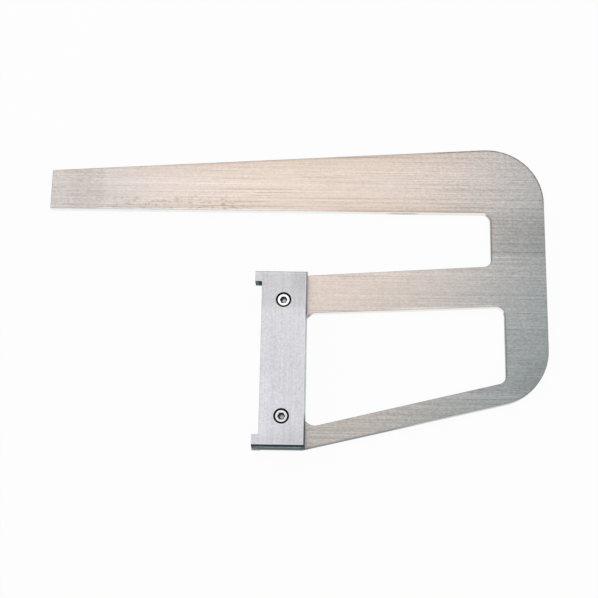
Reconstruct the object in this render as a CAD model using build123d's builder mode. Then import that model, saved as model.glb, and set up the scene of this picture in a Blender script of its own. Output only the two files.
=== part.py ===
from build123d import *
from math import hypot
import os

# Flange angle gauge, in millimetres.
# It lies on its back on the plane z = 0, with the plate's face towards +Z.
# The long blade runs along X, and the two feet point towards -X.
# Sketches are measured from the gauge's own corner: x = 0 is the plane of the two feet,
# and y = 0 is the lower end of the base.

# Thicknesses
plate_thickness = 5.0
base_thickness = 14.0

# Base: a bar with one foot at each end of its contact side
base_height = 110.0
body_width = 28.2
foot_reach = 4.2
upper_foot_height = 7.0
lower_foot_height = 7.2
base_chamfer = 1.0
foot_chamfer = 0.3
relief_corner_radius = 0.6

# Long tapered blade: its lower edge is the measuring edge
measuring_gap = 43.0
blade_reach = 132.5
blade_tip_width = 26.0
blade_root_width = 43.0

# Closed frame behind the base: spine, middle arm, strut and mounting strip
throat_depth = 147.5
window_depth = 155.0
spine_reach = 181.5
throat_end_gap = 35.5
arm_width_at_base = 24.5
arm_width_at_spine = 26.5
strut_width_at_base = 12.7
strut_top_at_spine = 43.1
strut_bottom_at_corner = 36.25
strip_setback = 1.4
outer_corner_radius = 35.5
throat_corner_radius = 5.0
window_corner_radius = 5.5
strip_corner_radius = 7.0
plate_edge_break = 0.25

# The strip's left side stands back from the bar's, so that only the feet touch the work
contact_setback = 0.5

# Socket head cap screws, M5 x 8
thread_diameter = 5.0
screw_length = 8.0
head_diameter = 8.5
head_height = 5.0
head_chamfer = 0.4
head_recess = 0.5
socket_across_flats = 4.0
socket_depth = 2.5
tip_chamfer = 0.6
screw_inset = 18.5
screw_line_offset = 0.5
counterbore_clearance = 0.5
shank_clearance = 0.25
thread_clearance = 0.05

# Dowel pins in line with the screws, which keep the plate square to the feet
pin_diameter = 4.0
pin_length = 10.0
pin_chamfer = 0.4
pin_inset = 8.0
pin_recess = 0.4
pin_clearance = 0.02
pin_end_space = 0.6

# Places worked out from the sizes above
base_width = foot_reach + body_width
screw_line = foot_reach + body_width / 2 - screw_line_offset
bar_thickness = base_thickness - plate_thickness
strip_left = foot_reach + contact_setback
strip_right = base_width - strip_setback
measuring_edge = base_height + measuring_gap
tip_top = measuring_edge + blade_tip_width
blade_slope = (blade_root_width - blade_tip_width) / (throat_depth + blade_reach)
corner_top = tip_top + blade_slope * (spine_reach + blade_reach)
throat_end_bottom = measuring_edge - throat_end_gap
arm_slope = (throat_end_bottom - base_height) / (throat_depth - base_width)
arm_top_at_spine = base_height + arm_slope * (window_depth - base_width)
head_seat = base_thickness - head_recess - head_height
pin_hole_depth = pin_recess + pin_length + pin_end_space - plate_thickness
upper_foot_bottom = base_height - upper_foot_height

# The sketches' zero is placed so that the middle of the whole gauge is on the Z axis.
# The highest point is the top of the spine's round upper corner.
corner_centre_x = spine_reach - outer_corner_radius
blade_top_there = tip_top + blade_slope * (corner_centre_x + blade_reach)
highest_point = blade_top_there - outer_corner_radius * (hypot(1, blade_slope) - 1)
zero_x = (blade_reach - spine_reach) / 2
zero_y = -highest_point / 2
gauge_plane = Plane(origin=(zero_x, zero_y, 0))

screw_places = {"lower": screw_inset, "upper": base_height - screw_inset}
pin_places = {"lower": pin_inset, "upper": base_height - pin_inset}

os.makedirs("parts", exist_ok=True)


# Gauge plate: a closed frame and the long blade, cut in one piece from flat stock
with BuildPart() as gauge_plate:
    with BuildSketch(gauge_plane) as plate_outline:
        with BuildLine():
            Polyline(
                (-blade_reach, measuring_edge),
                (-blade_reach, tip_top),
                (spine_reach, corner_top),
                (spine_reach, strut_bottom_at_corner),
                (strip_right, 0),
                (strip_left, 0),
                (strip_left, base_height),
                (base_width, base_height),
                (throat_depth, throat_end_bottom),
                (throat_depth, measuring_edge),
                close=True,
            )
        make_face()
        fillet(plate_outline.vertices().group_by(Axis.X)[-1], outer_corner_radius)
        throat_end = plate_outline.edges().filter_by(Axis.Y).group_by(Axis.X)[-2]
        fillet(throat_end.vertices(), throat_corner_radius)
    extrude(amount=plate_thickness)

    # Window between the middle arm and the strut
    with BuildSketch(gauge_plane) as window:
        with BuildLine():
            Polyline(
                (strip_right, base_height - arm_width_at_base),
                (window_depth, arm_top_at_spine - arm_width_at_spine),
                (window_depth, strut_top_at_spine),
                (strip_right, strut_width_at_base),
                close=True,
            )
        make_face()
        fillet(window.vertices().group_by(Axis.X)[-1], window_corner_radius)
        fillet(window.vertices().group_by(Axis.X)[0], strip_corner_radius)
    extrude(amount=plate_thickness, mode=Mode.SUBTRACT)

    # Broken edges all round, on both faces
    for plate_face in gauge_plate.faces().filter_by(Axis.Z):
        chamfer(plate_face.edges(), plate_edge_break)

    # Tapped holes for the screws and reamed holes for the pins, in the mounting strip
    with BuildSketch(gauge_plane):
        with Locations([(screw_line, place) for place in screw_places.values()]):
            Circle(thread_diameter / 2 + thread_clearance)
        with Locations([(screw_line, place) for place in pin_places.values()]):
            Circle(pin_diameter / 2 + pin_clearance)
    extrude(amount=plate_thickness, mode=Mode.SUBTRACT)
gauge_plate.part.label = "gauge_plate"
export_step(gauge_plate.part, "parts/gauge_plate.step")


# Base block: a bar with its two feet, which lies on the front of the mounting strip
with BuildPart(gauge_plane) as base_block:
    with BuildSketch(gauge_plane.offset(plate_thickness)) as bar_outline:
        with BuildLine():
            Polyline(
                (0, 0),
                (base_width, 0),
                (base_width, base_height),
                (0, base_height),
                (0, upper_foot_bottom),
                (foot_reach, upper_foot_bottom),
                (foot_reach, lower_foot_height),
                (0, lower_foot_height),
                close=True,
            )
        make_face()
        relief_side = bar_outline.edges().filter_by(Axis.Y).group_by(Axis.X)[1]
        fillet(relief_side.vertices(), relief_corner_radius)
    extrude(amount=bar_thickness)

    # Wide chamfers along both ends and the right side of the front, narrow ones on the
    # contact side
    front_edges = base_block.faces().sort_by(Axis.Z)[-1].edges()
    end_edges = front_edges.filter_by(Axis.X).group_by(Axis.Y)
    right_edge = front_edges.filter_by(Axis.Y).group_by(Axis.X)[-1]
    chamfer(end_edges[0] + end_edges[-1] + right_edge, base_chamfer)
    front_edges = base_block.faces().sort_by(Axis.Z)[-1].edges()
    contact_edges = front_edges.filter_by_position(
        Axis.X, zero_x - foot_reach, zero_x + foot_reach + foot_chamfer
    )
    chamfer(contact_edges, foot_chamfer)

    # Counterbored screw holes from the front
    with Locations([(screw_line, place, base_thickness) for place in screw_places.values()]):
        CounterBoreHole(
            radius=thread_diameter / 2 + shank_clearance,
            counter_bore_radius=head_diameter / 2 + counterbore_clearance,
            counter_bore_depth=head_recess + head_height,
        )

    # Blind pin holes from behind
    with BuildSketch(gauge_plane.offset(plate_thickness)):
        with Locations([(screw_line, place) for place in pin_places.values()]):
            Circle(pin_diameter / 2 + pin_clearance)
    extrude(amount=pin_hole_depth, mode=Mode.SUBTRACT)
base_block.part.label = "base_block"
export_step(base_block.part, "parts/base_block.step")


# Cap screws: each head rests on the floor of its counterbore, and the thread ends just
# inside the plate's back
for name, place in screw_places.items():
    with BuildPart() as cap_screw:
        with BuildSketch(gauge_plane.offset(head_seat)):
            with Locations((screw_line, place)):
                Circle(head_diameter / 2)
        extrude(amount=head_height)
        chamfer(cap_screw.edges().group_by(Axis.Z)[-1], head_chamfer)
        with BuildSketch(gauge_plane.offset(head_seat)):
            with Locations((screw_line, place)):
                Circle(thread_diameter / 2)
        extrude(amount=-screw_length)
        chamfer(cap_screw.edges().group_by(Axis.Z)[0], tip_chamfer)
        with BuildSketch(gauge_plane.offset(head_seat + head_height)):
            with Locations((screw_line, place)):
                RegularPolygon(socket_across_flats / 2, 6, major_radius=False)
        extrude(amount=-socket_depth, mode=Mode.SUBTRACT)
    cap_screw.part.label = name + "_cap_screw"
    export_step(cap_screw.part, "parts/" + cap_screw.part.label + ".step")


# Dowel pins: pressed in from behind, through the plate and into the base
for name, place in pin_places.items():
    with BuildPart() as dowel_pin:
        with BuildSketch(gauge_plane.offset(pin_recess)):
            with Locations((screw_line, place)):
                Circle(pin_diameter / 2)
        extrude(amount=pin_length)
        chamfer(dowel_pin.edges().group_by(Axis.Z)[0], pin_chamfer)
        chamfer(dowel_pin.edges().group_by(Axis.Z)[-1], pin_chamfer)
    dowel_pin.part.label = name + "_dowel_pin"
    export_step(dowel_pin.part, "parts/" + dowel_pin.part.label + ".step")
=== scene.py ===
# %% [markdown]
# # Dressing a flange angle gauge
# The real tool is a flat stainless frame with a long tapered blade, and a thick steel block
# with two small feet. The solids already come with the right sizes, so what is left is what
# makes them look like metal: the grain of the brushed plate, the ground face of the block,
# the dark ring round each screw, and the light. The solids could be modelled again here,
# but then two shapes would have to agree. Finishes that follow each point's place on the
# solid are simpler, and the sizes stay in one file.

# %% Load the solids
import math

import bmesh
import bpy
from mathutils import Matrix, Vector


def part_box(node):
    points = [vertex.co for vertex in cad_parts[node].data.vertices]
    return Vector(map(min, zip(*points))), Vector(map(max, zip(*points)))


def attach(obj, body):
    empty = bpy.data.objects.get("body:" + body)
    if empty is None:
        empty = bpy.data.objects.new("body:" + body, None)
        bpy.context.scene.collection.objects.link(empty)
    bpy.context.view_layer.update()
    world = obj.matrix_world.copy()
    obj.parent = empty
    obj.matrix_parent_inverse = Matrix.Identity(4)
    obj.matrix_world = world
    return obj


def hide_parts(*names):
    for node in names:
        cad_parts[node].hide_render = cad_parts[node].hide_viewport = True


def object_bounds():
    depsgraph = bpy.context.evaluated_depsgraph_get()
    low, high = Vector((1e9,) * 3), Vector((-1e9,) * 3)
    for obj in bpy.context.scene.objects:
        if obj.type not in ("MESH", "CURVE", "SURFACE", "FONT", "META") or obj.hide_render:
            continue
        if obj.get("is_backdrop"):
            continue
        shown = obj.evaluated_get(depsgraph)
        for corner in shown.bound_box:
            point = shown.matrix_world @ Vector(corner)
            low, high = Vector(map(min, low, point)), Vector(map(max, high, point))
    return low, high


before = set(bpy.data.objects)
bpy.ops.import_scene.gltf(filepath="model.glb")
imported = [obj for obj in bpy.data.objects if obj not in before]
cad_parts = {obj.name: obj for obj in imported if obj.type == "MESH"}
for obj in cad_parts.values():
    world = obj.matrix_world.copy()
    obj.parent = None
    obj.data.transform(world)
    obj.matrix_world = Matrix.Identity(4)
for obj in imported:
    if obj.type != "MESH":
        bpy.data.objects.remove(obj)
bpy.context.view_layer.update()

mm = 0.001

for name in sorted(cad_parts):
    low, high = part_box(name)
    print(name, "is", [round(side / mm, 1) for side in high - low], "mm")

# %% [markdown]
# ## Shader maths as plain expressions
# Every finish below is a sum of masks: where the grain is, where a face points, how far a
# point is from an edge. Wiring Math nodes by hand hides that sum. A small class that wraps
# an output socket lets Python's own signs build the nodes, so that `1 - mask` reads as it
# is meant. One more method makes any other node, settings first and sockets after.

# %% A wire that Python's signs can work with
class Wire:
    """The output of a shader node, on which Python's signs add Math nodes."""

    def __init__(self, bench, socket):
        self.bench, self.socket = bench, socket

    def math(self, operation, *others):
        return self.bench.math(operation, self, *others)

    def __add__(self, other):
        return self.math("ADD", other)

    def __sub__(self, other):
        return self.math("SUBTRACT", other)

    def __mul__(self, other):
        return self.math("MULTIPLY", other)

    def __truediv__(self, other):
        return self.math("DIVIDE", other)

    def __radd__(self, other):
        return self.math("ADD", other)

    def __rmul__(self, other):
        return self.math("MULTIPLY", other)

    def __rsub__(self, other):
        return self.bench.math("SUBTRACT", other, self)

    def __neg__(self):
        return self.math("MULTIPLY", -1.0)

    def __abs__(self):
        return self.math("ABSOLUTE")


print("signs that also work behind a number:", [n for n in vars(Wire) if n.startswith("__r")])

# %% The bench that holds the nodes
class Bench:
    """One node tree that is being built."""

    def __init__(self, tree):
        self.tree = tree
        tree.nodes.clear()

    def node(self, kind, settings=None, values=None, output=0):
        """Adds a node: its settings first, then the values or wires of its sockets."""
        made = self.tree.nodes.new(kind)
        for key, setting in (settings or {}).items():
            if key == "stops":
                self.set_stops(made.color_ramp, setting)
            else:
                setattr(made, key, setting)
        for key, value in (values or {}).items():
            self.feed(made.inputs[key], value)
        return Wire(self, made.outputs[output]) if len(made.outputs) else made

    def feed(self, socket, value):
        if isinstance(value, Wire):
            self.tree.links.new(value.socket, socket)
        elif hasattr(socket.default_value, "__len__"):
            spare = len(socket.default_value) - len(value)
            socket.default_value = (*value, *([1.0] * spare))
        else:
            socket.default_value = value

    def set_stops(self, ramp, stops):
        while len(ramp.elements) < len(stops):
            ramp.elements.new(0.5)
        for element, (position, colour) in zip(ramp.elements, stops):
            element.position = position
            element.color = (*colour, 1.0)

    def math(self, operation, *values):
        return self.node("ShaderNodeMath", {"operation": operation}, dict(enumerate(values)))

    def step(self, wire, low, high):
        """0 at low, 1 at high, and a smooth change between them. Low may be the larger."""
        return self.node(
            "ShaderNodeMapRange",
            {"interpolation_type": "SMOOTHSTEP"},
            {"Value": wire, "From Min": low, "From Max": high},
        )

    def between(self, wire, rise, fall):
        """A mask that goes up over the two numbers of rise and down over those of fall."""
        start, end = fall
        return self.step(wire, *rise) * self.step(wire, end, start)

    def blend(self, mask, first, second):
        """A colour that goes from first to second as the mask goes from 0 to 1."""
        return self.node(
            "ShaderNodeMix",
            {"data_type": "RGBA"},
            {"Factor": mask, 6: first, 7: second},
            output=2,
        )

    def times(self, vector, other):
        """A colour or vector times another, number by number."""
        return self.node(
            "ShaderNodeVectorMath", {"operation": "MULTIPLY"}, {0: vector, 1: other}
        )

    def shade(self, colour, amount):
        """A colour times a number that changes over the surface."""
        grey = self.node("ShaderNodeCombineXYZ", None, {0: amount, 1: amount, 2: amount})
        return self.times(colour, grey)


print("the bench can", [tool for tool in vars(Bench) if not tool.startswith("_")])

# %% [markdown]
# ## Where a point is, and which way its face looks
# The grain runs along the plate, the wear follows its edges and the cut sides look unlike
# the faces. All three could be painted on maps, but maps need unwrapping and blur close up.
# They can also be told from two things that the shader knows at every point: its place and
# its normal. Both are read in the piece's own space, so they don't slide when the camera
# moves. Places are turned into millimetres, the unit in which a gauge is measured, so a
# step over two such numbers says where a mask starts and where it is full.

# %% Place and normal as separate numbers
def split(bench, vector):
    """A vector's X, Y and Z, each as a wire of its own."""
    return [
        bench.node("ShaderNodeSeparateXYZ", None, {0: vector}, output=axis)
        for axis in range(3)
    ]


def place(bench):
    """Where a point of the piece is: X, Y and Z in millimetres."""
    here = bench.node("ShaderNodeTexCoord", output="Object")
    return [number * 1000 for number in split(bench, here)]


def facing(bench):
    """Which way its face looks: X, Y and Z, each from -1 to 1."""
    return split(bench, bench.node("ShaderNodeTexCoord", output="Normal"))


# %% Noise, drawn out into streaks
def streaks(bench, per_metre, detail=2.0, roughness=0.55):
    """Noise from 0 to 1. per_metre is how many grains a metre holds along X, Y and Z."""
    here = bench.node("ShaderNodeTexCoord", output="Object")
    return bench.node(
        "ShaderNodeTexNoise",
        {"noise_dimensions": "3D"},
        {
            "Vector": bench.times(here, per_metre),
            "Scale": 1.0,
            "Detail": detail,
            "Roughness": roughness,
        },
    )


def oval(x, y, centre, reach):
    """A soft patch: 1 at its centre, 0 from its outline on."""
    across, along = (x - centre[0]) / reach[0], (y - centre[1]) / reach[1]
    return 1 - x.bench.step(across * across + along * along, 0.0, 1.0)


hairlines_per_metre = 1700.0
print("a hairline is about", round(1000 / hairlines_per_metre, 2), "mm wide")

# %% Open and close a finish
def new_finish(name):
    """A material with an empty node tree, and the bench to fill it."""
    material = bpy.data.materials.new(name)
    material.use_nodes = True
    return material, Bench(material.node_tree)


def close_finish(bench, colour, roughness, metallic, height, depth, sheen=0.5):
    """Ends a finish: bump from the height, then the shader and its output. depth is in
    millimetres, and sheen is the gloss of whatever isn't bare metal."""
    normal = bench.node(
        "ShaderNodeBump", None, {"Strength": 1.0, "Distance": depth * mm, "Height": height}
    )
    shader = bench.node(
        "ShaderNodeBsdfPrincipled",
        None,
        {
            "Base Color": colour,
            "Roughness": roughness,
            "Metallic": metallic,
            "Specular IOR Level": sheen,
            "Normal": normal,
        },
    )
    bench.node("ShaderNodeOutputMaterial", None, {"Surface": shader})
    print("the finish has", len(bench.tree.nodes), "nodes")


print("materials before the first finish:", len(bpy.data.materials))

# %% [markdown]
# ## The grain of the brushed plate
# Stainless sheet is brushed in one direction in the mill, so its grain is a set of long
# parallel hairlines of every width. A wave texture would give lines that are too even. A
# stretched noise gives real hairlines: short across the grain and long along it. Several
# widths are added, from bands of a few millimetres down to lines that only show close up.
# Where a noise peaks it is cut off sharply, which makes the rarer scratches and dashes.

# %% Hairlines, bands, scratches and speckle
plate_finish, bench = new_finish("brushed_stainless")
x, y, z = place(bench)
nx, ny, nz = facing(bench)

straight_lines = streaks(bench, (0.0, 680.0, 0.0), detail=3.0, roughness=0.6) - 0.5
line_breaks = streaks(bench, (24.0, 260.0, 0.0)) * 2
hairlines = streaks(bench, (6.0, hairlines_per_metre, 0.0)) - 0.5
fine_lines = streaks(bench, (60.0, 5600.0, 0.0)) - 0.5
wide_bands = streaks(bench, (3.0, 210.0, 0.0)) - 0.5
grain = straight_lines * line_breaks * 0.8 + hairlines * 0.7 + fine_lines * 0.5
grain = grain + wide_bands * 0.35

scratches = bench.step(streaks(bench, (14.0, 1300.0, 0.0), detail=0.0), 0.70, 0.80)
dashes = bench.step(streaks(bench, (75.0, 1250.0, 0.0), detail=1.0), 0.58, 0.72)
speckle = streaks(bench, (560.0, 950.0, 950.0), detail=2.0, roughness=0.7) - 0.5
print("grain made from", len(plate_finish.node_tree.nodes), "nodes")

# %% [markdown]
# ## The tone of the plate
# The blade is painted warm and light where it catches the lamp, a painted highlight that is
# partly also the steel's own tone, and the steel turns cooler and darker towards the spine.
# The blade's two long rims are a little duller, as they are handled most, the spine beside
# the throat, the arm and the strut are painted darker, and its tip is browner with a lighter
# end. More lamps could draw the highlight, but each would also change everything else. Wide
# soft patches in the colour change only what they should.

# %% Painted highlight: warm on the blade, cool on the spine
cool_steel, lamp_glow_warm = (0.41, 0.446, 0.448), (0.837, 0.735, 0.69)
lamp_glow_straw = (0.671, 0.568, 0.487)

# Painted highlight, partly the steel's own tone: warm and light where the lamp's glow falls,
# cooler and darker away from it
# Both ovals have their centre far beyond the blade, so only their lower parts cross it
steel = bench.blend(oval(x, y, (-7, 266), (241, 431)), cool_steel, lamp_glow_warm)
steel = bench.blend(oval(x, y, (9, 737), (177, 1081)), steel, lamp_glow_straw)
print("tones from", cool_steel, "to", lamp_glow_warm)

# %% The blade's tip and its two rims
brown_dash, brown_rim = (0.55, 0.31, 0.17), (0.40, 0.26, 0.14)
blade_bottom, blade_top, blade_taper = 55.1, 90.61, 0.0607
blade_width = 35.5 + x * blade_taper

tip_patch = bench.step(x + straight_lines * 4, -121.5, -124.5)
tip_end = bench.step(x, -135, -156)
steel = bench.shade(steel, 1 - tip_patch * 0.03 + tip_end * 0.16)
tip_dashes = bench.step(streaks(bench, (95.0, 800.0, 0.0), detail=2.0), 0.52, 0.66)
steel = bench.blend(tip_patch * (0.07 + tip_dashes * 0.09), steel, brown_dash)

across_blade = (y - blade_bottom) / blade_width
rims = bench.step(abs(across_blade - 0.5), 0.15, 0.46) * bench.step(y, 45, 56)
rims = rims * bench.between(x, (-130, -90), (100, 130))
rim_lines = bench.step(streaks(bench, (20.0, 2400.0, 0.0), detail=1.0), 0.50, 0.66)
steel = bench.blend(rims * (0.11 + rim_lines * 0.13), steel, brown_rim)
print("the blade gets", round(blade_taper * 100, 1), "mm wider on each 100 mm")

# %% Darker patches on the spine, the arm and the strut
spine_border = y + wide_bands * 8
beside_throat = bench.between(spine_border, (25.4, 27.1), (43, 60))
darkening = beside_throat * bench.step(x, 105, 135) * 0.19
for centre, reach, strength in (
    ((160, -60), (30, 30), 0.14),
    ((50, 5), (60, 20), 0.022),
    ((85, -70), (30, 20), 0.04),
):
    darkening = darkening + oval(x, y, centre, reach) * strength
    print("duller patch at", centre, "by", strength)
steel = bench.shade(steel, 1.03 - darkening)

# %% [markdown]
# ## Stains and worn edges
# Fingers leave brown stains along the measuring edge near the tip, and a brown line follows
# the top edge. A dark speckled line of old handling marks runs round the upper corner,
# while the edges that touch the work are rubbed bright. An edge could be found with a
# bevel or pointiness node, but those see all edges alike. The distance to a straight edge is
# one short sum, so each edge here gets its own sum and its own wear.

# %% Stains along the measuring edge
stain_brown, stain_top = (0.40, 0.31, 0.25), 68

stain_cloud = streaks(bench, (230.0, 520.0, 0.0), detail=3.0, roughness=0.7)
stain_zone = bench.step(y, stain_top, 57.5) * bench.step(x, -20, -45)
stain_zone = stain_zone * (0.25 + bench.step(x, -135, -105) * 0.75)
stains = bench.step(stain_cloud, 0.51, 0.62) * stain_zone
steel = bench.blend(stains * 0.62, steel, stain_brown)
print("stains reach", round(stain_top - blade_bottom, 1), "mm up from the measuring edge")

# %% Brown lines along the blade's two edges
top_brown, bottom_brown = (0.36, 0.25, 0.18), (0.36, 0.24, 0.14)
top_line_width, bottom_line_width = 2.2, 2.7

below_top = blade_top + x * blade_taper - y
top_line = bench.step(below_top, top_line_width, 0.4) * bench.step(x, 110, 95)
top_line = top_line * (0.45 + bench.step(x, -70, -45) * 0.55)
steel = bench.blend(top_line * 0.36, steel, top_brown)
bottom_line = bench.between(y, (50, 54), (55.7, blade_bottom + bottom_line_width))
bottom_line = bottom_line * bench.between(x, (-10, 50), (110, 122))
steel = bench.blend(bottom_line * 0.26, steel, bottom_brown)
print("the lines are", top_line_width, "and", bottom_line_width, "mm wide")

# %% Handling marks round the upper corner
handling_black = (0.16, 0.135, 0.115)
corner_x, corner_y, corner_radius = 121.5, 62.4, 35.5
mark_inner, mark_outer = 1.2, 0.7

along_top = bench.step(below_top, mark_inner, mark_outer)
along_top = along_top * bench.between(x, (80, 98), (120.5, 122.5))
from_x, from_y = x - corner_x, y - corner_y
inside_corner = corner_radius - (from_x * from_x + from_y * from_y).math("SQRT")
round_corner = bench.step(inside_corner, mark_inner, mark_outer)
round_corner = round_corner * bench.step(x, 119.5, 121.5) * bench.step(y, 56, 66)
handling = along_top.math("MAXIMUM", round_corner) * bench.step(speckle, -0.14, 0.02)
steel = bench.blend(handling * 0.8, steel, handling_black)
print("handling marks lie", mark_outer, "mm from the edge")

# %% Painted shade by the openings' ends, and rubbed edges
rubbed_edge, rubbed_arm = (0.95, 0.93, 0.90), (0.88, 0.86, 0.84)
throat_end, window_end, shade_offset = 123.0, 130.5, 0.4
arm_bottom, arm_slope = -12.736, 0.0483

# Painted shade: dark lines just right of both openings' ends, where their end walls look dark
throat_end_shade = bench.step(abs(x - (throat_end + shade_offset)), 0.6, 0.3)
throat_end_shade = throat_end_shade * bench.step(abs(y - 37), 16.5, 13)
window_end_shade = bench.step(abs(x - (window_end + shade_offset)), 0.6, 0.3)
window_end_shade = window_end_shade * bench.step(abs(y + 31), 22, 18)
steel = bench.shade(steel, 1 - throat_end_shade.math("MAXIMUM", window_end_shade) * 0.28)

# The measuring edge is rubbed towards the tip, and the arm's lower edge over the window
measuring_rub = bench.between(y, (50, 54), (55.6, 56.2))
measuring_rub = measuring_rub * bench.between(x, (-132, -122), (-20, 40))
above_window = y - (arm_bottom + x * arm_slope)
window_rub = bench.between(above_window, (-3, -1), (0.8, 1.4))
window_rub = window_rub * bench.between(x, (50, 70), (122, 128)) * bench.step(y, 10, 0)
steel = bench.blend(measuring_rub * 0.8, steel, rubbed_edge)
steel = bench.blend(window_rub * 0.6, steel, rubbed_arm)
print("the arm's lower edge climbs", round(arm_slope * 100, 1), "mm on each 100 mm")

# %% The plate's face: the tone times the grain
coarser = bench.step(x, 20, 130)
on_arm = bench.between(y, (-35, -25), (20, 30)) * bench.step(x, 120, 100)
on_strut = bench.step(y, -45, -55) * bench.step(x, 100, 70)
speckle_gain = 0.42 + coarser * (0.45 - on_arm * 0.4) + on_arm * 0.15 + tip_patch * 0.3
speckle_gain = speckle_gain + on_strut * 0.3 + oval(x, y, (140, 40), (30, 20)) * 0.2
level = 1 + grain * (0.70 + coarser * 0.2 + on_strut * 0.35) + speckle * speckle_gain
level = level - scratches * 0.2 - dashes * 0.09
face_colour = bench.shade(steel, level)
print("the face has", len(plate_finish.node_tree.nodes), "nodes so far")

# %% [markdown]
# ## The cut sides of the plate
# The sides carry fine marks across the thickness. Those that look down into the throat and
# the window are ground bright, while the strut's outer edge, its broken edges and the plate's
# end under the block are painted dark as shade. Each side could be given a material of its
# own, but the solids come as one mesh with one slot, and the normal tells the sides apart just
# as well. The narrow broken edges between face and side show by a normal that leans between
# the two.

# %% Ground sides, sides in painted shade, and plain sides
cut_steel = (0.36, 0.38, 0.375)
ground_left, ground_right = (0.95, 0.94, 0.92), (0.94, 0.91, 0.85)
strut_left, strut_right = (0.20, 0.23, 0.24), (0.62, 0.63, 0.62)
shade_under_block = (0.02, 0.035, 0.04)

window_corner = bench.step(x, 115, 122) * bench.between(y, (-40, -30), (0, 10))
looks_down = bench.step(window_corner * 0.5 - ny, 0.80, 0.95)
cut_marks = streaks(bench, (1300.0, 1300.0, 60.0)) - 0.5
to_the_right = bench.step(x, 10, 60)
above_strut = bench.step(y, -45, -20)

ground = bench.blend(to_the_right, ground_left, ground_right)
dull_patch = bench.step(abs(x - 68), 12, 6) * bench.step(z, 3.6, 2.4) * 0.38
dull_patch = dull_patch + bench.step(x, 75, 85) * bench.step(z, 1.6, 0.6) * 0.22
ground = bench.shade(ground, 1 - dull_patch * bench.step(y, 40, 50))
# Painted shade on the strut's outer edge, darkest near the block, and on the plate's end under
# the block
strut_side_shade = bench.blend(bench.step(x, 55, 85), strut_left, strut_right)
strut_side_shade = bench.blend(bench.step(x, 12, 8.5), strut_side_shade, shade_under_block)
ground = bench.blend(above_strut, strut_side_shade, ground)
side_colour = bench.shade(cut_steel, 1 + cut_marks * 0.5)
side_colour = bench.blend(looks_down, side_colour, ground)
print("strut side from", strut_left, "to", strut_right)

# %% Broken edges, and all of the plate together
rim_left, rim_right = (0.93, 0.90, 0.85), (0.78, 0.74, 0.68)
rim_shade_below, rim_outside = (0.50, 0.50, 0.49), (0.27, 0.25, 0.24)

outer_rim = bench.step(abs(nx) + ny, 0.2, 0.6).math("MAXIMUM", bench.step(nx, 0.15, 0.4))
rim_colour = bench.blend(to_the_right, rim_left, rim_right)
# Painted shade: the broken edges along the strut are darker
rim_colour = bench.blend(above_strut, rim_shade_below, rim_colour)
rim_colour = bench.blend(outer_rim, rim_colour, rim_outside)
rim_colour = bench.shade(rim_colour, 1 + cut_marks * 0.25)

flat = bench.step(abs(nz), 0.80, 0.95)
side = 1 - bench.step(abs(nz), 0.25, 0.6)
colour = bench.blend(side, rim_colour, side_colour)
colour = bench.blend(flat, colour, face_colour)
roughness = 0.36 + grain * 0.12 + stains * 0.1 + side * 0.06
height = grain * flat + cut_marks * side * 0.6 - scratches * 0.5
close_finish(bench, colour, roughness, 1.0, height, depth=0.04)

# %% [markdown]
# ## The ground block
# The front of the block is ground, so its grain is finer than the plate's and runs up and
# down. Its upper end is painted a little darker and warmer as shade, and its long edges are
# rubbed. Its lower end and the undersides of its feet are painted dark as shade, with one
# painted highlight line along the middle. Painting that would need a second solid or a map,
# while the normal already tells a lower face from the front, and the height tells where the
# line is.

# %% Where the screws and pins stand
def middle(node):
    """The middle of a solid's box, in millimetres."""
    low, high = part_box(node)
    return (low + high) / 2 / mm


screw_nodes = ["lower_cap_screw", "upper_cap_screw"]
pin_nodes = ["lower_dowel_pin", "upper_dowel_pin"]
screw_centres = [middle(node) for node in screw_nodes]
pin_centres = [middle(node) for node in pin_nodes]


def distance_to(x, y, centres):
    """How far a point is from the nearest of some upright axes, in millimetres."""
    nearest = None
    for centre in centres:
        off_x, off_y = x - centre.x, y - centre.y
        distance = (off_x * off_x + off_y * off_y).math("SQRT")
        nearest = distance if nearest is None else nearest.math("MINIMUM", distance)
    return nearest


print("screws at", [[round(number, 1) for number in centre.xy] for centre in screw_centres])

# %% The ground front, from its lower end to its upper one in painted shade
ground_steel, warm_shade_tint = (0.775, 0.775, 0.815), (1.0, 0.99, 0.965)

block_finish, bench = new_finish("ground_steel")
x, y, z = place(bench)
nx, ny, nz = facing(bench)
grinding = streaks(bench, (900.0, 14.0, 900.0), detail=3.0) - 0.5
patches = streaks(bench, (160.0, 60.0, 160.0), detail=4.0, roughness=0.65) - 0.5
pitting = streaks(bench, (900.0, 900.0, 900.0), detail=1.0) - 0.5
level = 1 + grinding * 0.36 + patches * 0.26 + pitting * 0.4
colour = bench.shade(ground_steel, level)

lighter = bench.between(y, (-94, -88.5), (-68, -48))
lighter = lighter * (0.04 + bench.step(x, -10, -15) * 0.025)
lower_right = bench.step(x, -7, 0) * bench.step(y, -82, -92)
colour = bench.shade(colour, 1 + lighter - lower_right * 0.065)

# Painted shade: the upper end of the front, and the part next to the arm, darker and a little
# warmer
shaded_upper_end = bench.step(y + patches * 8, -15, -7)
shaded_upper_end = shaded_upper_end * (0.5 + bench.step(x, -22.5, -19) * 0.5)
by_arm = bench.step(x, -4, 1) * bench.step(y, -4, 4)
shade_depth = 0.11 + bench.step(abs(x + 8), 4, 11) * 0.04 + by_arm * 0.07
colour = bench.times(colour, bench.blend(shaded_upper_end, (1.0, 1.0, 1.0), warm_shade_tint))
colour = bench.shade(colour, 1 - shaded_upper_end * shade_depth)
print("the front has", len(block_finish.node_tree.nodes), "nodes so far")

# %% Rubbed edges, and the rim on the right
rubbed_steel = (0.93, 0.935, 0.95)
rim_shade_low, rim_high, rim_reflection = (0.17, 0.19, 0.19), (0.55, 0.58, 0.58), (0.90, 0.96, 0.93)
chamfer = 1.0

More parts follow.
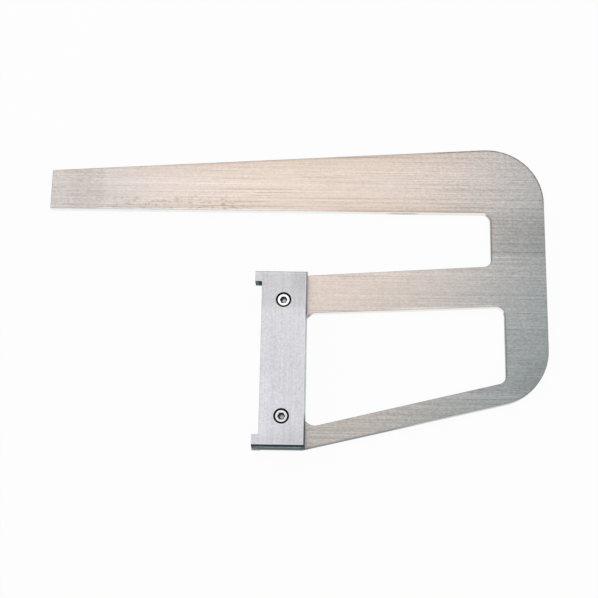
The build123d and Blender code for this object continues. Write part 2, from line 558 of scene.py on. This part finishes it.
front_low, front_high = (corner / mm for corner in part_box("base_block"))
rim_distance = (y - (front_low.y + chamfer)).math("MINIMUM", front_high.x - chamfer - x)
rim_distance = rim_distance.math("MINIMUM", front_high.y - chamfer - y)
rubbed = bench.step(rim_distance, 0.8, 0.2) * bench.step(nz, 0.8, 0.95)
colour = bench.blend(rubbed * (0.55 + patches), colour, rubbed_steel)

# Painted reflection and shade on the right rim: dark low down, and white where it mirrors the
# light room on the right
right_rim = bench.between(nx, (0.30, 0.65), (0.80, 0.95))
reflecting_band = bench.between(y, (-85, -74), (-20, -14))
rim_colour = bench.blend(bench.step(y, -30, 0), rim_shade_low, rim_high)
rim_colour = bench.blend(reflecting_band, rim_colour, rim_reflection)
rim_colour = bench.shade(rim_colour, 1 + patches * 0.8)
colour = bench.blend(right_rim, colour, rim_colour)
print("the front is", round(front_high.y - front_low.y - 2 * chamfer, 1), "mm high")

# %% Lower faces, painted dark as shade
shaded_chamfer, shaded_end, highlight_blue = (0.048, 0.072, 0.09), (0.05, 0.08, 0.092), (0.33, 0.43, 0.46)
foot_dark, foot_light = (0.055, 0.088, 0.105), (0.17, 0.25, 0.30)
foot_occlusion_black = (0.012, 0.016, 0.022)
line_rise, line_fall = (7.4, 8.4), (10.4, 11.6)

# Painted shade on the faces that look down, with a painted highlight line along the middle
lower = bench.step(-ny, 0.30, 0.65)
lower_side = bench.step(-ny, 0.8, 0.95)
highlight_line = bench.between(z, line_rise, line_fall) * (0.8 + patches)
highlight_line = highlight_line * bench.between(x, (-24.4, -21.2), (4.5, 6.8))
shaded_underside = bench.blend(lower_side, shaded_chamfer, shaded_end)
shaded_underside = bench.blend(lower_side * highlight_line, shaded_underside, highlight_blue)

# Painted shade under the upper foot, with a lighter stripe, darkest next to the body
foot_stripe = bench.between(x, (-24.2, -23.6), (-22.9, -21.8))
foot_colour = bench.blend(foot_stripe, foot_dark, foot_light)
foot_colour = bench.blend(bench.step(x, -22.9, -21.8), foot_colour, foot_occlusion_black)
under_upper_foot = bench.step(y, -20, 0)
shaded_underside = bench.blend(under_upper_foot, shaded_underside, foot_colour)
shaded_underside = bench.shade(shaded_underside, 1 + patches * 1.4 + pitting * 0.5)
colour = bench.blend(lower, colour, shaded_underside)
print("the light line runs from", line_rise[0], "to", line_fall[1], "mm above the back")

# %% The counterbores, and the whole block
counterbore_radius = 4.75
bore_shade_black = (0.05, 0.055, 0.055)

# Painted shade: a dark ring in the gap between each screw head and its counterbore
to_axis = distance_to(x, y, screw_centres)
bore_gap_shade = bench.step(to_axis, counterbore_radius + 0.09, counterbore_radius + 0.03)
colour = bench.blend(bore_gap_shade, colour, bore_shade_black)
roughness = 0.46 + grinding * 0.12 + patches * 0.12 + lower * 0.16
height = grinding * 0.7 + pitting * 0.3
close_finish(bench, colour, roughness, 1 - lower * 0.85, height, depth=0.03, sheen=0.15)

# %% [markdown]
# ## Bright screws and ground pins
# Cap screws are bought bright, and only their sockets and knurls look dark, because old oil
# and little light are all that is left there. Each part could be drawn as a separate dark
# piece, but oil has no thickness worth a mesh. A smooth finish with faint turning rings,
# and a dark film of old oil, with painted shade on the screws, wherever a cloth can't reach,
# is enough. The pins are hardened and ground, and only their ends show, from behind.

# %% Turned steel under a film of oil and painted shade
oil_and_shade_black = (0.07, 0.08, 0.078)


def turned_steel(name, tone, polish, ring_pitch, centres, film):
    """Bright steel with turning rings, ring_pitch millimetres apart. polish is how rough it
    is where it is clean. film gives the mask of the old oil and the painted shade, from the
    bench, the distance to the axis and the height."""
    material, bench = new_finish(name)
    x, y, z = place(bench)
    distance = distance_to(x, y, centres)
    rings = (distance * (2 * math.pi / ring_pitch)).math("SINE")
    dust = streaks(bench, (1500.0, 1500.0, 1500.0)) - 0.5
    colour = bench.shade(tone, 1 + rings * 0.04 + dust * 0.12)

    # A little light reaches the floor of a socket, on its right
    lit = bench.step(distance_to(x - 0.4, y - 0.1, centres), 1.5, 0.8)
    lit = lit * bench.step(distance, 3.0, 2.4)
    oil_and_shade = film(bench, distance, z) * (1 - lit * 0.5)
    colour = bench.blend(oil_and_shade, colour, oil_and_shade_black)
    roughness = polish + dust * 0.1 + oil_and_shade * 0.2
    close_finish(bench, colour, roughness, 1.0, rings * 0.5 + dust, depth=0.006)
    return material


print("oil is", oil_and_shade_black)

# %% Where the oil and the painted shade stay
screw_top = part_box("upper_cap_screw")[1].z / mm


def screw_oil_and_shade(bench, distance, height):
    """Painted shade and old oil in the socket, below its mouth, and round the shoulder of the
    head.
    """
    in_socket = bench.step(distance, 2.5, 2.2)
    in_socket = in_socket * bench.step(height, screw_top - 0.05, screw_top - 0.3)
    on_shoulder = bench.step(distance, 3.35, 3.7)
    return in_socket.math("MAXIMUM", on_shoulder)


def pin_film(bench, distance, height):
    """Oil along the side of a pin."""
    return bench.step(distance, 1.7, 1.9) * 0.5


screw_finish = turned_steel(
    "bright_screw_steel",
    tone=(0.86, 0.87, 0.88),
    polish=0.22,
    ring_pitch=0.35,
    centres=screw_centres,
    film=screw_oil_and_shade,
)
pin_finish = turned_steel(
    "ground_pin_steel",
    tone=(0.55, 0.55, 0.56),
    polish=0.3,
    ring_pitch=0.2,
    centres=pin_centres,
    film=pin_film,
)
print("the screws end", round(screw_top, 2), "mm above the back")

# %% Put the finishes on the solids
def dress(node, material):
    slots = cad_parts[node].data.materials
    slots.clear()
    slots.append(material)
    print(node, "wears", material.name)


dress("gauge_plate", plate_finish)
dress("base_block", block_finish)
for node in pin_nodes:
    dress(node, pin_finish)

# %% [markdown]
# ## Screws with a knurl, a socket and a thread
# A screw is turned on a lathe, so it is drawn here as a stack of rings, from its tip up to
# the head and down into the socket. The rings all have the same number of points, and only
# their radius rule changes: round for the shank, fluted for the knurl, six-sided for the
# socket and a running wave for the thread. A boolean cut would give the same socket, but it
# leaves a messy mesh for so small a piece.

# %% Radius rules
ring_points = 144
flutes, flute_power = 36, 0.7


def round_rule(radius):
    return lambda angle, height: radius


def knurl_rule(radius, depth):
    def fluted(angle, height):
        return radius - depth * abs(math.sin(flutes * angle / 2)) ** flute_power
    return fluted


def hexagon_rule(across_flats):
    def radius(angle, height):
        off_flat = (angle % (math.pi / 3)) - math.pi / 6
        return across_flats / 2 / math.cos(off_flat)
    return radius


def thread_rule(radius, pitch, depth):
    def wave(angle, height):
        turn = (height / pitch - angle / (2 * math.pi)) % 1
        return radius - depth * min(1, max(0, 3 * abs(2 * turn - 1) - 1))
    return wave


print("a ring has", ring_points, "points, which is", ring_points // flutes, "for each flute")

# %% The sizes of an M5 cap screw
shank_radius, thread_pitch, thread_depth = 2.5 * mm, 0.8 * mm, 0.42 * mm
thread_from_tip, thread_from_seat = 0.65 * mm, 0.5 * mm
tip_radius, tip_height, tip_hollow = 1.85 * mm, 0.6 * mm, 0.08 * mm
head_radius, head_height = 4.25 * mm, 5.0 * mm
head_edge, edge_height, small_step = 0.3 * mm, 0.25 * mm, 0.1 * mm
knurl_depth, knurl_start, knurl_end = 0.16 * mm, 0.7 * mm, 1.0 * mm
shoulder, shoulder_step = 0.62 * mm, 0.06 * mm
across_flats, socket_mouth, mouth_depth = 4.0 * mm, 4.35 * mm, 0.2 * mm
socket_depth, floor_radius, cone_depth = 2.5 * mm, 1.9 * mm, 0.4 * mm
thread_rings, shoulder_rings = 60, 6
print("the shoulder leaves", round((head_radius - shoulder) / mm, 2), "mm of flat head")

# %% The rings of the shank and its thread
def shank_rings(low, seat):
    """Rings as (height, radius rule), from the tip up to the seat of the head."""
    thread_start, thread_end = low + thread_from_tip, seat - thread_from_seat
    rings = [
        (low, round_rule(tip_radius)),
        (low + tip_height, round_rule(shank_radius - small_step)),
    ]
    for index in range(thread_rings + 1):
        height = thread_start + (thread_end - thread_start) * index / thread_rings
        rings.append((height, thread_rule(shank_radius, thread_pitch, thread_depth)))
    return rings + [(seat, round_rule(shank_radius))]


low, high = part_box("upper_cap_screw")
print("a shank has", len(shank_rings(low.z, high.z - head_height)), "rings")

# %% The rings of the head and its socket
def head_rings(seat, high):
    """Rings from the underside of the head, over its shoulder and down the socket."""
    knurl = knurl_rule(head_radius, knurl_depth)
    rings = [
        (seat, round_rule(head_radius - head_edge)),
        (seat + edge_height, round_rule(head_radius)),
        (seat + knurl_start - small_step, round_rule(head_radius)),
        (seat + knurl_start, knurl),
        (high - knurl_end, knurl),
    ]
    for index in range(shoulder_rings + 1):
        turn = math.pi / 2 * index / shoulder_rings
        radius = head_radius - shoulder + shoulder * math.cos(turn) - shoulder_step
        rings.append((high - shoulder + shoulder * math.sin(turn), round_rule(radius)))
    return rings + [
        (high, round_rule(head_radius - shoulder - head_edge)),
        (high, hexagon_rule(socket_mouth)),
        (high - mouth_depth, hexagon_rule(across_flats)),
        (high - socket_depth + small_step, hexagon_rule(across_flats)),
        (high - socket_depth, round_rule(floor_radius)),
    ]


print("a head has", len(head_rings(high.z - head_height, high.z)), "rings")

# %% One ring of points, and the skin over all rings
def add_ring(body, centre, height, rule):
    """The points of one ring, at the radius that its rule gives for each angle."""
    points = []
    for index in range(ring_points):
        angle = 2 * math.pi * index / ring_points
        radius = rule(angle, height)
        spot = (centre.x + radius * math.cos(angle), centre.y + radius * math.sin(angle))
        points.append(body.verts.new((*spot, height)))
    return points


def skin(body, rows, tip, floor):
    """Joins each ring to the next, the first ring to the tip and the last to the floor."""
    neighbours = [(index, (index + 1) % ring_points) for index in range(ring_points)]
    for below, above in zip(rows, rows[1:]):
        for index, after in neighbours:
            body.faces.new((below[index], below[after], above[after], above[index]))
    for index, after in neighbours:
        body.faces.new((rows[0][after], rows[0][index], tip))
        body.faces.new((rows[-1][index], rows[-1][after], floor))
    bmesh.ops.recalc_face_normals(body, faces=body.faces)


print("one ring is drawn every", 360 / ring_points, "degrees")

# %% Turn the rings into a mesh
sharp_degrees = 32


def turn_screw(node):
    low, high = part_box(node)
    centre, seat = (low + high) / 2, high.z - head_height
    rings = shank_rings(low.z, seat) + head_rings(seat, high.z)
    body = bmesh.new()
    rows = [add_ring(body, centre, height, rule) for height, rule in rings]

    # A shallow hollow closes the tip, and a drill's cone the floor of the socket
    tip = body.verts.new((centre.x, centre.y, low.z + tip_hollow))
    floor = body.verts.new((centre.x, centre.y, high.z - socket_depth - cone_depth))
    skin(body, rows, tip, floor)
    mesh = bpy.data.meshes.new(node + "_turned")
    body.to_mesh(mesh)
    body.free()
    mesh.materials.append(screw_finish)
    mesh.shade_smooth()
    mesh.set_sharp_from_angle(angle=math.radians(sharp_degrees))
    return mesh


print("edges that turn by more than", sharp_degrees, "degrees stay sharp")

# %% Stand the screws in their holes
def stand_screw(node):
    """Puts the turned screw where the plain solid was, and hides the solid."""
    screw = bpy.data.objects.new(node + "_turned", turn_screw(node))
    bpy.context.collection.objects.link(screw)
    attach(screw, "root")
    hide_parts(node)
    print(screw.name, "has", len(screw.data.polygons), "faces")


for node in screw_nodes:
    stand_screw(node)

# %% [markdown]
# ## The table and the light
# The gauge lies on a white sheet under soft studio light. The sheet is a plain diffuse
# white, mixed with a white glow for the rays that come from the camera or from the metal, so
# that it reads as white while the shadow still shows. Under the lower foot it is darker,
# as in a deep contact shadow. More light would also whiten the sheet, but the steel would
# burn out with it. One broad warm-white lamp hangs where the plate mirrors it, and a wide
# fill comes from the left. A smaller lamp would give a hard glint.

# %% The sheet that the gauge lies on
half_sheet, sheet_drop = 6.0, 0.2 * mm
corners = [(-half_sheet, -half_sheet), (half_sheet, -half_sheet)]
corners += [(half_sheet, half_sheet), (-half_sheet, half_sheet)]
sheet_mesh = bpy.data.meshes.new("white_sheet")
sheet_mesh.from_pydata([(*corner, -sheet_drop) for corner in corners], [], [(0, 1, 2, 3)])
sheet = bpy.data.objects.new("white_sheet", sheet_mesh)
bpy.context.collection.objects.link(sheet)
sheet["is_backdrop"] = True
print("sheet is", 2 * half_sheet, "m wide")

# %% White paper with one deep shade
paper_white, paper_shade = (0.92, 0.92, 0.92), (0.38, 0.40, 0.40)

sheet_finish, bench = new_finish("white_paper")
x, y, _ = place(bench)
foot_shade = bench.between(x, (-25.2, -24.6), (-20.0, -18.8))
foot_shade = foot_shade * bench.between(y, (-98.4, -97.9), (-91.2, -88.5))
seen = bench.node("ShaderNodeLightPath", output="Is Camera Ray")
seen = seen + bench.node("ShaderNodeLightPath", output="Is Glossy Ray")
seen = seen + bench.node("ShaderNodeLightPath", output="Is Transmission Ray")
glow_share = seen.math("MINIMUM", 1.0) * (0.95 - foot_shade * 0.9)
paper_colour = bench.blend(foot_shade, paper_white, paper_shade)
paper = bench.node("ShaderNodeBsdfDiffuse", None, {"Color": paper_colour})
glow = bench.node("ShaderNodeEmission", None, {"Color": (1.0, 1.0, 1.0), "Strength": 1.0})
mixed = bench.node("ShaderNodeMixShader", None, {0: glow_share, 1: paper, 2: glow})
bench.node("ShaderNodeOutputMaterial", None, {"Surface": mixed})
sheet_mesh.materials.append(sheet_finish)
print("paper has", len(sheet_finish.node_tree.nodes), "nodes")

# %% Lamps
def soft_lamp(name, spot, size, watts, colour):
    """A square lamp that faces the middle of the gauge. Places and sizes are in metres."""
    data = bpy.data.lights.new(name, "AREA")
    data.shape = "RECTANGLE"
    data.size = data.size_y = size
    data.energy = watts
    data.color = colour
    lamp = bpy.data.objects.new(name, data)
    lamp.location = spot
    lamp.rotation_euler = (-Vector(spot)).to_track_quat("-Z", "Y").to_euler()
    bpy.context.collection.objects.link(lamp)
    print(name, "stands", round(Vector(spot).length, 2), "m away")


soft_lamp(
    "mirrored_lamp", spot=(-0.05, 0.50, 1.20), size=0.55, watts=1.05, colour=(1.0, 0.97, 0.93)
)
soft_lamp("left_fill", spot=(-1.5, 0.6, 1.3), size=1.4, watts=9.0, colour=(1.0, 1.0, 1.0))

# %% The room that the steel mirrors
floor_grey, wall_grey, ceiling_grey = (0.30, 0.31, 0.33), (0.45, 0.46, 0.47), (0.62, 0.62, 0.63)

room = bpy.data.worlds.new("soft_room")
bpy.context.scene.world = room
room.use_nodes = True
bench = Bench(room.node_tree)
direction = bench.node("ShaderNodeTexCoord", output="Generated")
upward = bench.node("ShaderNodeSeparateXYZ", None, {0: direction}, output="Z")
walls_to_ceiling = bench.node(
    "ShaderNodeValToRGB",
    {"stops": [(0.0, floor_grey), (0.45, wall_grey), (0.9, ceiling_grey)]},
    {0: upward},
)
sky = bench.node("ShaderNodeBackground", None, {"Color": walls_to_ceiling, "Strength": 1.0})
bench.node("ShaderNodeOutputWorld", None, {"Surface": sky})
print("room goes from", floor_grey, "to", ceiling_grey)

# %% [markdown]
# ## The camera
# The photograph looks down on the gauge from its lower side, about sixteen degrees off
# square, from nearly three times its length away. Turning the camera by eye would get close,
# but the angles below come from fitting the known corners to the picture, which is surer.

# %% Which way the camera looks
tilt, turn, roll = math.radians(16.343), math.radians(-1.074), math.radians(-0.721)

right = Vector((1, 0, 0))
up = Vector((0, math.cos(tilt), math.sin(tilt)))
forward = Vector((0, math.sin(tilt), -math.cos(tilt)))
forward, right = (
    forward * math.cos(turn) + right * math.sin(turn),
    right * math.cos(turn) - forward * math.sin(turn),
)
right, up = (
    right * math.cos(roll) - up * math.sin(roll),
    up * math.cos(roll) + right * math.sin(roll),
)
print("camera looks along", [round(number, 3) for number in forward])

# %% The camera at the photograph's angle
target, distance = Vector((0.00253, -0.00184, 0.0)), 0.87849
focal_pixels, picture_width = 1400, 598

lens_data = bpy.data.cameras.new("camera")
lens_data.sensor_width = 36.0
lens_data.lens = focal_pixels / picture_width * lens_data.sensor_width
camera = bpy.data.objects.new("camera", lens_data)
axes = Matrix((right, up, -forward)).transposed()
camera.matrix_world = Matrix.Translation(target - forward * distance) @ axes.to_4x4()
bpy.context.collection.objects.link(camera)
bpy.context.scene.camera = camera
bpy.context.scene.view_settings.view_transform = "Standard"
print("camera stands at", [round(number / mm) for number in camera.location], "mm")

# %% [markdown]
# ## The box of the dressed gauge
# The dressed gauge must fill the same box as the solids, no more and no less, because other
# parts meet it there. That could be measured by eye on a render; here the box of the dressed
# scene, without the sheet, is taken as numbers.

# %% The box of the dressed scene
low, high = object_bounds()
